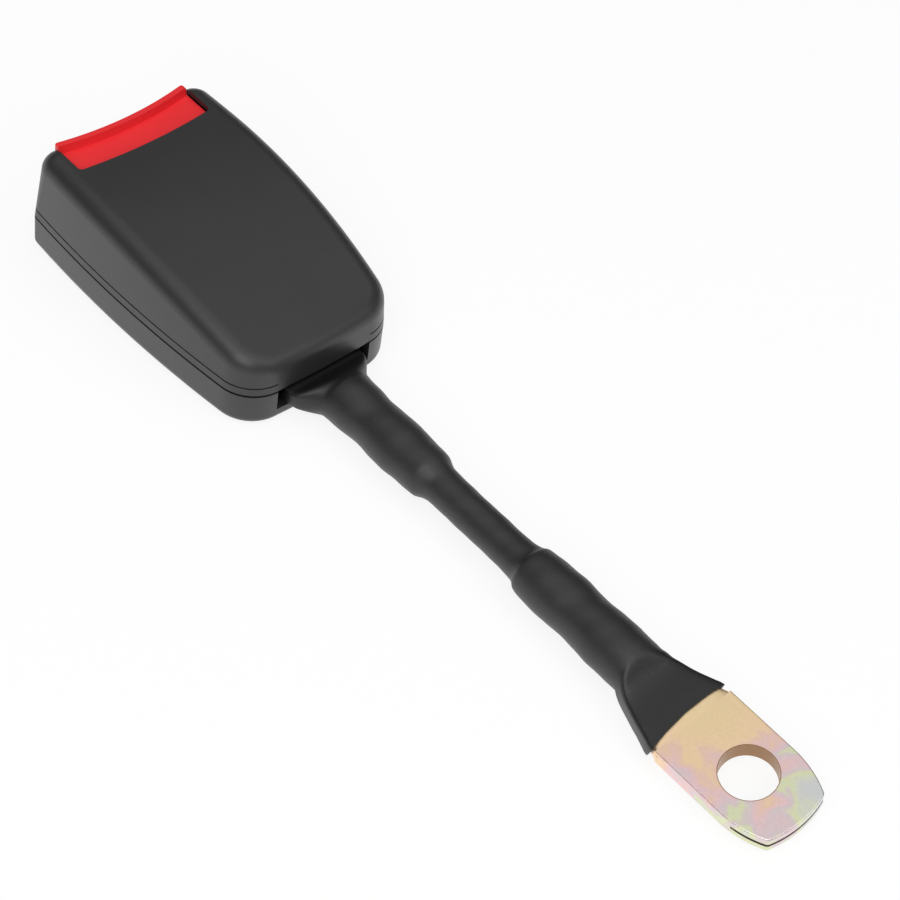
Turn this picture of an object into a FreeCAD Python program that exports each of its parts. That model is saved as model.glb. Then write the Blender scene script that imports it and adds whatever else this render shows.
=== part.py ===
"""Seat belt buckle on a sleeved steel rope stalk, with a bolt-down anchor tab.

Millimetres. X runs along the stalk from the anchor bore to the buckle's mouth, Z is up.
The model is drawn with heights above the plane that the buckle rests on, and is moved down by
bore_height when it is written, so that the origin is the centre of the anchor bore.
"""
import FreeCAD, Part
import math
import os

Vec = FreeCAD.Vector

# Anchor terminal: a steel tube pressed on the rope, its end flattened into a tab with a bolt hole
bore_diameter = 11.5
bore_height = 4.45
tab_width = 19.4
tab_thickness = 4.0
tab_reach = 13.4
tab_end_bow = 1.2
tab_end_narrowing = 2.5
tab_corner_radius = 1.2
tab_side_start = 2.0
tab_root = 14.5
tab_edge_radius = 0.35
tab_twist = 10.2
fold_groove = 0.3
flare_length = 15.0
flare_stations = (0.15, 0.3, 0.45, 0.6, 0.72, 0.82, 0.9, 0.96)
flare_narrowing = 0.9
flare_rise = 8.0

# Stalk: rope, barrels and shrink sleeve share one level axis
rope_diameter = 6.0
strand_count = 6
strand_lay = 45.0
strand_gap = 0.02
core_gap = 0.06
strand_steps = 20
rope_stop = 2.5
rope_end_room = 0.4
barrel_diameter = 9.6
anchor_barrel_length = 29.5
bare_rope_length = 30.0
buckle_barrel_length = 26.0
sleeve_wall = 0.92
sleeve_clearance = 0.12
sleeve_tab_gap = 1.5
shoulder_length = 3.0
weld_overlap = 0.5
weld_step = 0.05

# Buckle terminal: the other tube end, pressed flat and riveted to the frame
strap_width = 18.4
strap_thickness = 2.6
strap_reach = 18.6
strap_flare = 6.0
strap_stations = 8
strap_edge_radius = 0.8
strap_corner_radius = 5.0
rivet_shank_diameter = 6.0
rivet_head_diameter = 9.6
rivet_head_height = 2.1
rivet_sink = 1.4
rivet_inset = 8.0

# Buckle covers
cover_rear_gap = 1.4
buckle_length = 68.8
front_half_width = 21.9
middle_half_width = 22.6
rear_half_width = 19.4
rear_bow = 0.9
rear_corner_radius = 8.8
front_corner_radius = 1.8
cover_draft = 0.07
mouth_lean = 0.03
seam_gap = 0.4
front_height = 24.9
rear_height = 16.2
crown_share = 0.81
top_edge_radius = 4.0
bottom_edge_radius = 2.0
cover_wall = 2.0
floor_wall = 1.8
rim_height = 1.2
rim_clearance = 0.15
groove_height = 1.7
groove_size = 0.35
notch_side_gap = 1.7
notch_floor_gap = 0.3
sleeve_tuck = 1.4
cable_recess_clearance = 0.4
hook_station = 0.154
hook_width = 5.0
hook_thickness = 1.1
hook_rise = 4.9
hook_barb = 1.6
hook_catch = 0.6
hook_gap = 0.2
rib_station = 0.474
rib_width = 1.6

# Press button, with its opening in the upper cover
button_side_margin = 5.4
button_side_gap = 0.25
button_travel = 3.0
opening_depth_middle = 10.6
opening_depth_side = 9.5
opening_corner_radius = 1.0
button_tuck = 3.2
button_front_hollow = 1.75
button_lip_width = 1.5
button_lip_rise = 0.3
button_lip_rounding = 0.4
button_corner_rounding = 0.6
button_slope_length = 0.35
button_wall = 2.0
button_roof = 1.6
button_side_wall = 1.6
button_floor_gap = 0.75
opening_edge_wall = 1.2
button_run_gap = 0.3
flange_thickness = 3.2
leg_side_gap = 0.45
leg_thickness = 1.4
leg_height = 4.2
leg_tail = 5.0

# Steel frame: a channel folded from plate
frame_thickness = 2.5
frame_wall = 2.2
frame_floor_gap = 0.2
frame_rear_gap = 1.6
frame_mouth_gap = 4.5
frame_leg_gap = 0.4
frame_neck_margin = 3.8
cheek_lead = 4.0
cheek_headroom = 1.3
spring_tab_thickness = 2.2
spring_tab_height = 6.0
spring_tab_setback = 2.5
button_clearance = 0.6

# Tongue channel
tongue_thickness = 3.0
slot_half_width = 13.2
channel_clearance = 0.2
slot_chamfer = 1.2

# Latch, its pin, the lock bar and the ejector
pin_station = 0.31395
pin_rise = 3.8
pin_diameter = 3.0
pin_head_diameter = 5.0
pin_head_length = 0.8
pin_clearance = 0.05
latch_boss_radius = 2.6
latch_side_gap = 3.1
latch_plate_thickness = 2.0
latch_plate_rise = 0.5
latch_drop = 11.5
nose_station = 0.63372
nose_length = 4.0
nose_half_width = 4.4
nose_lift = 0.3
nose_clearance = 0.8
wing_station = 0.57558
wing_half_length = 2.2
lug_half_width = 7.0
lug_height = 3.2
lug_length = 3.2
bar_station = 0.56105
bar_width = 3.6
bar_thickness = 1.8
bar_rise = 3.5
bar_advance = 2.8
bar_gap = 0.3
ejector_travel = 12.0
ejector_length = 13.0
ejector_bridge = 2.2
arm_width = 2.05
run_clearance = 0.25

# Springs
button_spring_diameter = 4.4
button_spring_wire = 0.5
button_spring_turns = 5
button_pilot_length = 2.5
button_pilot_radius = 1.3
ejector_spring_diameter = 4.0
ejector_spring_wire = 0.5
ejector_spring_turns = 8
ejector_pilot_length = 3.0
ejector_pilot_radius = 1.4
latch_spring_diameter = 4.6
latch_spring_wire = 0.45
latch_spring_turns = 3
latch_spring_station = 0.43023
spring_seat_gap = 0.15
spring_seat_wall = 0.9
coil_steps_per_turn = 14

# Room round the part, so that every cutter reaches past it
reach = 60.0
overshoot = 5.0

# Places and sizes that follow from the driving dimensions
frame_bottom = floor_wall + frame_floor_gap
frame_top = frame_bottom + frame_thickness
strap_bottom = frame_top
strap_top = strap_bottom + strap_thickness
stalk_height = strap_bottom + strap_thickness / 2
tongue_bottom = frame_top + channel_clearance
tongue_top = tongue_bottom + tongue_thickness
seam_height = tongue_top + 0.6
rope_radius = rope_diameter / 2
barrel_radius = barrel_diameter / 2
anchor_barrel_start = tab_root + flare_length
anchor_barrel_end = anchor_barrel_start + anchor_barrel_length
buckle_barrel_start = anchor_barrel_end + bare_rope_length
buckle_barrel_end = buckle_barrel_start + buckle_barrel_length
strap_start = buckle_barrel_end + strap_flare
rope_start = anchor_barrel_start + rope_stop
rope_end = buckle_barrel_end - rope_stop
rope_length = rope_end - rope_start
buckle_rear = strap_start + cover_rear_gap
mouth_x = buckle_rear + buckle_length
middle_x = buckle_rear + buckle_length / 2
crown_x = buckle_rear + crown_share * buckle_length
strap_end = buckle_rear + strap_reach
rivet_x = strap_end - rivet_inset
sleeve_start = tab_root + sleeve_tab_gap
sleeve_end = buckle_rear + cover_wall + sleeve_tuck
sleeve_growth = sleeve_clearance + sleeve_wall
notch_half_width = strap_width / 2 + sleeve_growth + notch_side_gap
notch_bottom = strap_bottom - sleeve_growth - notch_floor_gap
upper_bottom = seam_height + seam_gap / 2
lower_top = seam_height - seam_gap / 2
pin_x = buckle_rear + pin_station * buckle_length
pin_height = tongue_top + pin_rise
nose_rear = buckle_rear + nose_station * buckle_length
nose_front = nose_rear + nose_length
wing_x = buckle_rear + wing_station * buckle_length
bar_front = buckle_rear + bar_station * buckle_length
bar_rear = bar_front - bar_width
bar_bottom = pin_height + bar_rise
bar_top = bar_bottom + bar_thickness
ejector_rear = bar_front
ejector_front = ejector_rear + ejector_length
hook_x = buckle_rear + hook_station * buckle_length
hook_top = seam_height + hook_rise
rib_x = buckle_rear + rib_station * buckle_length
latch_spring_x = buckle_rear + latch_spring_station * buckle_length
latch_top = pin_height + latch_plate_rise + latch_plate_thickness
latch_sine = math.sin(math.radians(latch_drop))
latch_cosine = math.cos(math.radians(latch_drop))
button_half_width = front_half_width - button_side_margin
button_bottom = upper_bottom + button_floor_gap
button_inner_x = mouth_x - button_wall - button_front_hollow
shelf_drop = opening_edge_wall + button_run_gap
shelf_rear = mouth_x - opening_depth_middle - button_tuck
leg_bottom = bar_bottom - (leg_height - bar_thickness) / 2
leg_top = leg_bottom + leg_height
flange_top = leg_top + button_clearance
flange_front = mouth_x - cover_wall - button_clearance
flange_rear = flange_front - flange_thickness
leg_rear = bar_rear - leg_tail
cheek_start = pin_x - cheek_lead
cheek_end = flange_rear - button_travel - button_clearance
spring_face = cheek_end - spring_tab_setback
spring_tab_x = spring_face - spring_tab_thickness
button_spring_y = button_half_width - button_side_wall - button_spring_diameter / 2 - 0.2
button_spring_height = bar_bottom + bar_thickness
ejector_spring_height = frame_top + ejector_spring_diameter / 2 + 0.1
frame_rear = sleeve_end + frame_rear_gap
frame_front = mouth_x - frame_mouth_gap
neck_half_width = strap_width / 2 + frame_neck_margin


def roof(x):
    """Height of the upper cover's outer face at x: level at the mouth, falling to the rear."""
    back = max(crown_x - x, 0.0) / (crown_x - buckle_rear)
    return front_height - (front_height - rear_height) * back ** 2


def inner_wall(x, z):
    """Half-width of the covers' inner face at x, at height z, from the plan's outline."""
    share = (x - buckle_rear) / buckle_length
    outer = (rear_half_width * (1 - share) * (1 - 2 * share) + 4 * middle_half_width * share * (1 - share)
             + front_half_width * share * (2 * share - 1))
    return outer - cover_wall - cover_draft * max(z - seam_height, 0.0)


def front_corner(inset, z):
    """Radius of the covers' front corners at height z: they grow softer towards the top rounding."""
    growth = (top_edge_radius + 0.3 - front_corner_radius) / (front_height - top_edge_radius - seam_height)
    return max(front_corner_radius - inset / 2, 0.3) + growth * (z - seam_height)


# The narrowest room beside the button's legs sets the button's and the frame's widths
leg_outer = min(inner_wall(leg_rear, leg_top), inner_wall(flange_front, flange_top)) - leg_side_gap
flange_corner = front_corner(cover_wall, flange_top) - leg_side_gap
leg_inner = leg_outer - leg_thickness
frame_half_width = leg_inner - frame_leg_gap
frame_inner = frame_half_width - frame_wall
arm_outer = frame_inner - run_clearance
arm_inner = arm_outer - arm_width
latch_half_width = frame_inner - latch_side_gap
cheek_top = min(roof(cheek_start + cheek_lead) - cover_wall, bar_top + 2 * cheek_headroom) - cheek_headroom
frame_front_height = roof(spring_tab_x) - shelf_drop - button_roof - button_clearance


def block(x0, x1, y0, y1, z0, z1):
    return Part.makeBox(x1 - x0, y1 - y0, z1 - z0, Vec(x0, y0, z0))


def side_prism(points, y0, y1):
    """Solid from an outline given as (x, z) pairs, from y0 to y1."""
    wire = Part.makePolygon([Vec(x, y0, z) for x, z in points + points[:1]])
    return Part.Face(wire).extrude(Vec(0, y1 - y0, 0))


def cross_prism(points, x0, x1):
    """Solid from an outline given as (y, z) pairs, from x0 to x1."""
    wire = Part.makePolygon([Vec(x0, y, z) for y, z in points + points[:1]])
    return Part.Face(wire).extrude(Vec(x1 - x0, 0, 0))


def mirrored(shape):
    return shape.mirror(Vec(0, 0, 0), Vec(0, 1, 0))


def both(shape):
    return [shape, mirrored(shape)]


def drill(x, z, radius, half):
    """Round bar along Y, across the middle."""
    return Part.makeCylinder(radius, 2 * half, Vec(x, -half, z), Vec(0, 1, 0))


def upright(x, y, radius, z0, z1):
    return Part.makeCylinder(radius, z1 - z0, Vec(x, y, z0))


def along_stalk(radius, x0, x1):
    return Part.makeCylinder(radius, x1 - x0, Vec(x0, 0, stalk_height), Vec(1, 0, 0))


def edges_where(shape, test):
    return [edge for edge in shape.Edges if test(edge.BoundBox, edge)]


def is_upright(box):
    return box.XLength < 0.01 and box.YLength < 0.01


def save(name, shape):
    """Writes one node, moved so that the origin is the bore's centre."""
    shape = shape.copy()
    shape.translate(Vec(0, 0, -bore_height))
    shape = shape.removeSplitter()
    bad = [solid for solid in shape.Solids if not solid.isValid()]
    print(name, "solids", len(shape.Solids), "volume", round(shape.Volume, 1), "BAD" if bad else "ok")
    solids = shape.Solids
    result = solids[0] if len(solids) == 1 else Part.makeCompound(solids)
    result.exportStep("parts/" + name + ".step")


def ring_section(x, half_width, half_height, height, power, twist):
    """Closed smooth section across the stalk: power 2 is an ellipse, higher ones are squarer."""
    count = 24
    turn = math.radians(twist)
    points = []
    for k in range(count):
        a = 2 * math.pi * k / count
        c, s = math.cos(a), math.sin(a)
        y = half_width * math.copysign(abs(c) ** (2 / power), c)
        z = half_height * math.copysign(abs(s) ** (2 / power), s)
        turned_y = y * math.cos(turn) - z * math.sin(turn)
        turned_z = y * math.sin(turn) + z * math.cos(turn)
        points.append(Vec(x, turned_y, height + turned_z))
    curve = Part.BSplineCurve()
    curve.interpolate(points, PeriodicFlag=True)
    return Part.Wire(curve.toShape())


def loft(sections):
    return Part.makeLoft([ring_section(*section) for section in sections], True, True)


def welded_loft(sections):
    """Loft whose two ends run on, a hair thinner, inside the pieces that it is fused with."""
    def shrunk(section, shift):
        x, wide, high, *rest = section
        return (x + shift, wide - weld_step, high - weld_step, *rest)
    first, last = sections[0], sections[-1]
    return loft([shrunk(first, -weld_overlap), shrunk(first, 0)] + sections[1:-1]
                + [shrunk(last, 0), shrunk(last, weld_overlap)])


def flare_sections(grow):
    """Sections from the flat tab to the round barrel, each grown by a wall.

    The width narrows steadily, and the height jumps up close to the barrel.
    """
    half = tab_width / 2
    thick = tab_thickness / 2
    sections = [(tab_root, half, thick, bore_height, 8.0, -tab_twist)]
    for along in flare_stations:
        wide = half - (half - barrel_radius) * along ** flare_narrowing
        rise = along ** flare_rise
        power = 8 - 6 * along ** 3
        high = thick + rise * (barrel_radius - thick)
        height = bore_height + rise * (stalk_height - bore_height)
        twist = -tab_twist * (1 - rise)
        sections.append((tab_root + along * flare_length, wide, high, height, power, twist))
    sections.append((anchor_barrel_start, barrel_radius, barrel_radius, stalk_height, 2.0, 0.0))
    return [(x, w + grow, h + grow, z, p, t) for x, w, h, z, p, t in sections]


def strap_sections(grow):
    """Sections from the buckle-side barrel to its flat strap."""
    sections = []
    for step in range(strap_stations + 1):
        along = step / strap_stations
        left = 1 - along * along * (3 - 2 * along)
        power = 2 + 6 * along ** 2
        wide = strap_width / 2 + left * (barrel_radius - strap_width / 2)
        high = strap_thickness / 2 + left * (barrel_radius - strap_thickness / 2)
        x = buckle_barrel_end + along * strap_flare
        sections.append((x, wide + grow, high + grow, stalk_height, power, 0.0))
    return sections


def tab_outline(inset):
    """Flat outline of the tab: straight sides, tapering nose and bowed end."""
    half = tab_width / 2 - inset
    end = tab_reach - inset
    corner_x = end - tab_end_bow
    corner_y = half - tab_end_narrowing
    run = corner_x - tab_side_start
    drop = half - corner_y
    radius = (run * run + drop * drop) / (2 * drop)
    mid_x = tab_side_start + run / 2
    mid_y = half - radius + math.sqrt(radius * radius - (run / 2) ** 2)
    near_side = Vec(-tab_side_start, half, 0)
    near_corner = Vec(-corner_x, corner_y, 0)
    far_side = Vec(-tab_side_start, -half, 0)
    far_corner = Vec(-corner_x, -corner_y, 0)
    edges = [Part.makeLine(Vec(tab_root, -half, 0), Vec(tab_root, half, 0)),
             Part.makeLine(Vec(tab_root, half, 0), near_side),
             Part.Arc(near_side, Vec(-mid_x, mid_y, 0), near_corner).toShape(),
             Part.Arc(near_corner, Vec(-end, 0, 0), far_corner).toShape(),
             Part.Arc(far_corner, Vec(-mid_x, -mid_y, 0), far_side).toShape(),
             Part.makeLine(far_side, Vec(tab_root, -half, 0))]
    return Part.Face(Part.Wire(edges))


def slab(face, z0, z1):
    lower = face.copy()
    lower.translate(Vec(0, 0, z0))
    return lower.extrude(Vec(0, 0, z1 - z0))


def anchor_terminal():
    """Tab with the bolt bore, flare and barrel, from one pressed tube."""
    half = tab_thickness / 2
    tab = slab(tab_outline(0.0), -half, half)
    corners = edges_where(tab, lambda box, edge: box.ZLength > half and box.XMax < -tab_side_start - 1)
    tab = tab.makeFillet(tab_corner_radius, corners)
    rims = edges_where(tab, lambda box, edge: box.ZLength < 0.01 and box.XMin < tab_root - 0.1)
    tab = tab.makeFillet(tab_edge_radius, rims)
    groove_rim = slab(tab_outline(-1.0), -fold_groove / 2, fold_groove / 2)
    groove_core = slab(tab_outline(fold_groove), -fold_groove, fold_groove)
    nose_only = block(-tab_reach - 1, -tab_side_start - 4, -tab_width, tab_width, -half, half)
    tab = tab.cut(groove_rim.cut(groove_core).common(nose_only))
    bore = upright(0, 0, bore_diameter / 2, -tab_thickness, tab_thickness)
    for piece in (tab, bore):
        piece.rotate(Vec(0, 0, 0), Vec(1, 0, 0), -tab_twist)
        piece.translate(Vec(0, 0, bore_height))
    barrel = along_stalk(barrel_radius, anchor_barrel_start, anchor_barrel_end)
    body = tab.fuse(welded_loft(flare_sections(0.0))).fuse(barrel)
    rope_hole = along_stalk(rope_radius, rope_start - rope_end_room, anchor_barrel_end + 1)
    return body.cut([bore, rope_hole])


def buckle_terminal():
    """Barrel, flare and flat riveted strap at the buckle's end of the rope."""
    barrel = along_stalk(barrel_radius, buckle_barrel_start, buckle_barrel_end)
    half = strap_width / 2
    strap = block(strap_start, strap_end, -half, half, strap_bottom, strap_top)
    ends = edges_where(strap, lambda box, edge: box.ZLength > 1 and box.XMin > strap_end - 0.1)
    strap = strap.makeFillet(strap_corner_radius, ends)
    sides = edges_where(strap, lambda box, edge: box.ZLength < 0.01 and box.XLength > 5 and box.YLength < 0.01)
    strap = strap.makeFillet(strap_edge_radius, sides)
    body = strap.fuse(welded_loft(strap_sections(0.0))).fuse(barrel)
    rope_hole = along_stalk(rope_radius, buckle_barrel_start - 1, rope_end + rope_end_room)
    rivet_hole = upright(rivet_x, 0, rivet_shank_diameter / 2, strap_bottom - 1, strap_top + 1)
    return body.cut([rope_hole, rivet_hole])


def sleeve_sections(grow):
    """The sleeve follows flare, barrel, rope, barrel and strap, rounded at each shoulder."""
    flare = flare_sections(grow)
    share = (sleeve_start - flare[0][0]) / (flare[1][0] - flare[0][0])
    sections = [tuple(a + (b - a) * share for a, b in zip(flare[0], flare[1]))]
    sections += [section for section in flare[1:] if section[0] > sleeve_start + 0.1]
    barrel = barrel_radius + grow
    rope = rope_radius + grow
    middle = (barrel + rope) / 2
    rings = [(anchor_barrel_start + 0.14 * anchor_barrel_length, barrel),
             (anchor_barrel_start + 0.48 * anchor_barrel_length, barrel),
             (anchor_barrel_end - 1.0, barrel),
             (anchor_barrel_end + 0.3, barrel - weld_step),
             (anchor_barrel_end + 0.5 * shoulder_length, middle),
             (anchor_barrel_end + shoulder_length, rope),
             ((anchor_barrel_end + buckle_barrel_start) / 2, rope),
             (buckle_barrel_start - shoulder_length, rope),
             (buckle_barrel_start - 0.5 * shoulder_length, middle),
             (buckle_barrel_start - 0.3, barrel - weld_step),
             (buckle_barrel_start + 1.0, barrel),
             (buckle_barrel_start + 0.46 * buckle_barrel_length, barrel),
             (buckle_barrel_start + 0.88 * buckle_barrel_length, barrel)]
    sections += [(x, radius, radius, stalk_height, 2.0, 0.0) for x, radius in rings]
    sections += strap_sections(grow)
    sections.append((sleeve_end,) + sections[-1][1:])
    return sections


def sleeve():
    """Shrink sleeve: the wall between two lofts."""
    return loft(sleeve_sections(sleeve_growth)).cut(loft(sleeve_sections(sleeve_clearance)))


def coil(radius, wire, turns, length):
    """Wire coil along +X from the origin."""
    steps = turns * coil_steps_per_turn
    sections = []
    for k in range(steps + 1):
        share = k / steps
        angle = 2 * math.pi * turns * share
        outward = Vec(0, math.cos(angle), math.sin(angle))
        centre = outward * radius + Vec(wire / 2 + share * (length - wire), 0, 0)
        corners = []
        for side in range(6):
            a = math.radians(60 * side)
            corners.append(centre + (outward * math.cos(a) + Vec(math.sin(a), 0, 0)) * (wire / 2))
        sections.append(Part.makePolygon(corners + corners[:1]))
    return Part.makeLoft(sections, True, True)


def placed_coil(diameter, wire, turns, start, direction, length):
    shape = coil((diameter - wire) / 2, wire, turns, length)
    shape.Placement = FreeCAD.Placement(start, FreeCAD.Rotation(Vec(1, 0, 0), direction))
    return shape


def rope_strand(index):
    """One strand, laid round the core with the rope's pitch."""
    strand_radius = rope_radius / 3 - strand_gap
    lay_radius = rope_radius - strand_radius - strand_gap
    slope = 2 * math.pi * lay_radius / strand_lay
    sections = []
    for k in range(strand_steps + 1):
        x = rope_start + rope_length * k / strand_steps
        angle = 2 * math.pi * (index / strand_count + (x - rope_start) / strand_lay)
        outward = Vec(0, math.cos(angle), math.sin(angle))
        along = Vec(1, -slope * math.sin(angle), slope * math.cos(angle))
        along.normalize()
        across = along.cross(outward)
        centre = Vec(x, 0, stalk_height) + outward * lay_radius
        corners = []
        for side in range(8):
            a = math.radians(45 * side + 22.5)
            corners.append(centre + (outward * math.cos(a) + across * math.sin(a)) * strand_radius)
        sections.append(Part.makePolygon(corners + corners[:1]))
    return Part.makeLoft(sections, True, True)


def rope_core():
    return along_stalk(rope_radius / 3 - core_gap, rope_start, rope_end)


def cover_outline(inset, front):
    """Plan outline of the buckle: bowed rear, swelling sides and a straight front at x = front."""
    rear = buckle_rear + inset
    points = [(rear, rear_half_width), (middle_x, middle_half_width), (front, front_half_width)]
    near = [Vec(x, y - inset, 0) for x, y in points]
    far = [Vec(x, inset - y, 0) for x, y in points]
    edges = [Part.Arc(near[0], near[1], near[2]).toShape(),
             Part.makeLine(near[2], far[2]),
             Part.Arc(far[2], far[1], far[0]).toShape(),
             Part.Arc(far[0], Vec(rear - rear_bow, 0, 0), near[0]).toShape()]
    return Part.Face(Part.Wire(edges))


def rounded_plan(inset, front, front_radius, z0, z1):
    """Upright solid of the buckle's plan with its four corners rounded."""
    form = slab(cover_outline(inset, front), z0, z1)
    rear = edges_where(form, lambda box, edge: is_upright(box) and box.XMax < middle_x)
    form = form.makeFillet(rear_corner_radius - inset, rear)
    corners = edges_where(form, lambda box, edge: is_upright(box) and abs(box.XMin - front) < 0.01)
    return form.makeFillet(front_radius, corners)


def cover_form(inset, z0, z1):
    """Upright solid of the buckle's plan, drawn in all round by an inset."""
    return rounded_plan(inset, mouth_x - inset, front_corner(inset, seam_height), z0, z1)


def plan_wire(inset, z):
    """Rounded plan outline at height z: sides and rear drawn in by the draft, the mouth leaning out."""
    rise = z - seam_height
    front = mouth_x - inset + mouth_lean * rise
    form = rounded_plan(inset + cover_draft * rise, front, front_corner(inset, z), z, z + 1)
    return min(form.Faces, key=lambda face: face.CenterOfMass.z).OuterWire


def under_roof(inset, drop, z0):
    """Drafted solid of the buckle's plan, cut off along the crowned roof, lowered by a wall."""
    form = Part.makeLoft([plan_wire(inset, z0), plan_wire(inset, front_height + overshoot)], True, True)
    a, b = buckle_rear - overshoot, mouth_x + overshoot
    steps = 24
    points = [Vec(x, -reach, roof(x) - drop) for x in [a + (b - a) * k / steps for k in range(steps + 1)]]
    curve = Part.BSplineCurve()
    curve.interpolate(points)
    corners = [points[-1], Vec(b, -reach, reach), Vec(a, -reach, reach), points[0]]
    lines = [Part.makeLine(p, q) for p, q in zip(corners[:-1], corners[1:])]
    sky = Part.Face(Part.Wire([curve.toShape()] + lines)).extrude(Vec(0, 2 * reach, 0))
    return form.cut(sky)


def top_edges(shape, drop):
    """The rim where the walls meet the roof."""
    return edges_where(shape, lambda box, edge: box.ZMin > rear_height - drop - 1.5
                       and (box.XLength > 1 or box.YLength > 1))


def opening_cut(gap, z0):
    """The space that the button fills at the mouth, open upwards and forwards."""
    half = button_half_width + gap
    side_x = mouth_x - opening_depth_side
    rear = Vec(mouth_x - opening_depth_middle, 0, 0)
    front = mouth_x + overshoot
    edges = [Part.Arc(Vec(side_x, half, 0), rear, Vec(side_x, -half, 0)).toShape(),
             Part.makeLine(Vec(side_x, -half, 0), Vec(front, -half, 0)),
             Part.makeLine(Vec(front, -half, 0), Vec(front, half, 0)),
             Part.makeLine(Vec(front, half, 0), Vec(side_x, half, 0))]
    cut = slab(Part.Face(Part.Wire(edges)), z0, reach)
    corners = edges_where(cut, lambda box, edge: is_upright(box) and box.XMax < side_x + 0.01)
    return cut.makeFillet(opening_corner_radius, corners)


def upper_cover():
    """Moulded top shell, thinned round the button's opening and grooved above the seam."""
    outer = under_roof(0, 0, upper_bottom)
    outer = outer.makeFillet(top_edge_radius, top_edges(outer, 0))
    inner = under_roof(cover_wall, cover_wall, upper_bottom - 1)
    inner = inner.makeFillet(top_edge_radius - cover_wall, top_edges(inner, cover_wall))
    rim_room = cover_form(cover_wall / 2, upper_bottom - 1, upper_bottom + rim_height + rim_clearance)
    band_z = upper_bottom + groove_height
    band = cover_form(-1, band_z, band_z + groove_size).cut(cover_form(groove_size, band_z - 1, band_z + 2))
    half = notch_half_width
    beside_stalk = block(buckle_rear - overshoot, buckle_rear + cover_wall, -half, half, band_z - 1, band_z + 2)
    opening = opening_cut(button_side_gap, upper_bottom - 1)
    shell = outer.cut(inner).cut([rim_room, band.cut(beside_stalk), opening])
    x0 = shelf_rear - button_travel - 1
    x1 = mouth_x - cover_wall
    thin = side_prism([(x0, roof(x0) - cover_wall - 1), (x1, roof(x1) - cover_wall - 1),
                       (x1, roof(x1) - opening_edge_wall), (x0, roof(x0) - opening_edge_wall)],
                      -button_half_width - opening_edge_wall, button_half_width + opening_edge_wall)
    sleeve_top = max(strap_top + sleeve_growth + cable_recess_clearance, upper_bottom + 0.01)
    recess = block(buckle_rear - overshoot, sleeve_end + 1, -half, half, upper_bottom - 2, sleeve_top)
    ceiling = roof(latch_spring_x) - cover_wall
    spring_radius = latch_spring_diameter / 2
    seat = upright(latch_spring_x, 0, spring_radius + spring_seat_wall, ceiling - 1.2, ceiling + 1)
    seat = seat.cut(upright(latch_spring_x, 0, spring_radius + spring_seat_gap, ceiling - 2, ceiling))
    shell = shell.cut([thin, recess])
    rib = block(rib_x - rib_width, rib_x, frame_inner + 0.3, frame_half_width - 0.3,
                cheek_top + run_clearance, roof(rib_x) - cover_wall + 0.4)
    x0, x1 = hook_x - hook_width / 2 - 0.5, hook_x + hook_width / 2 + 0.5
    wall_y = inner_wall(x0, hook_top)
    catch_top = hook_top - hook_barb - hook_gap
    catch = block(x0, x1, wall_y - hook_catch - hook_gap, wall_y + 1, catch_top - 1.4, catch_top)
    return shell.fuse([seat] + both(rib) + both(catch))


def lower_cover():
    """Moulded bottom tray with a locating rim, frame ribs, cable notch and tongue slot."""
    outer = cover_form(0, 0, lower_top)
    low = edges_where(outer, lambda box, edge: box.ZMax < 0.01)
    outer = outer.makeFillet(bottom_edge_radius, low)
    inner = cover_form(cover_wall, floor_wall, lower_top + overshoot)
    rim = cover_form(cover_wall / 2 + rim_clearance, floor_wall, lower_top + rim_height)
    tray = outer.cut(inner).fuse(rim.cut(cover_form(cover_wall, 0, reach)))
    half = notch_half_width
    notch = block(buckle_rear - overshoot, sleeve_end + 0.5, -half, half, notch_bottom, reach)
    slot_rear = mouth_x - cover_wall - 3
    front = mouth_x + overshoot
    half = slot_half_width
    slot = block(slot_rear, front, -half, half, frame_top, reach)
    lead = [(mouth_x - slot_chamfer, frame_top + 0.01), (mouth_x + 1, frame_top - slot_chamfer - 0.4),
            (mouth_x + 1, frame_top + 0.01)]
    lip = side_prism(lead, -half, half)
    rim_gap = block(slot_rear, front, -button_half_width - 1, button_half_width + 1, lower_top, reach)
    tray = tray.cut([notch, slot, lip, rim_gap])
    under = floor_wall - 0.1
    fittings = []
    for x in (frame_rear + 8, (frame_rear + frame_front) / 2, frame_front - 8):
        half = neck_half_width - 2
        fittings.append(block(x, x + 1.2, -half, half, under, frame_bottom))
    guide = block(cheek_start + 3, cheek_start + 17, frame_half_width + 0.15, frame_half_width + 1.15,
                  under, seam_height - 2)
    x0, x1 = hook_x - hook_width / 2, hook_x + hook_width / 2
    outer_y = inner_wall(x0 - 0.5, hook_top) - hook_catch - 2 * hook_gap
    stem = block(x0, x1, outer_y - hook_thickness, outer_y, under, hook_top)
    barb_z = hook_top - hook_barb
    root_y, tip_y = outer_y - 0.1, outer_y + hook_catch
    barb = cross_prism([(root_y, barb_z), (tip_y, barb_z), (root_y, hook_top)], x0, x1)
    return tray.fuse(fittings + both(guide) + both(stem.fuse(barb)))


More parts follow.
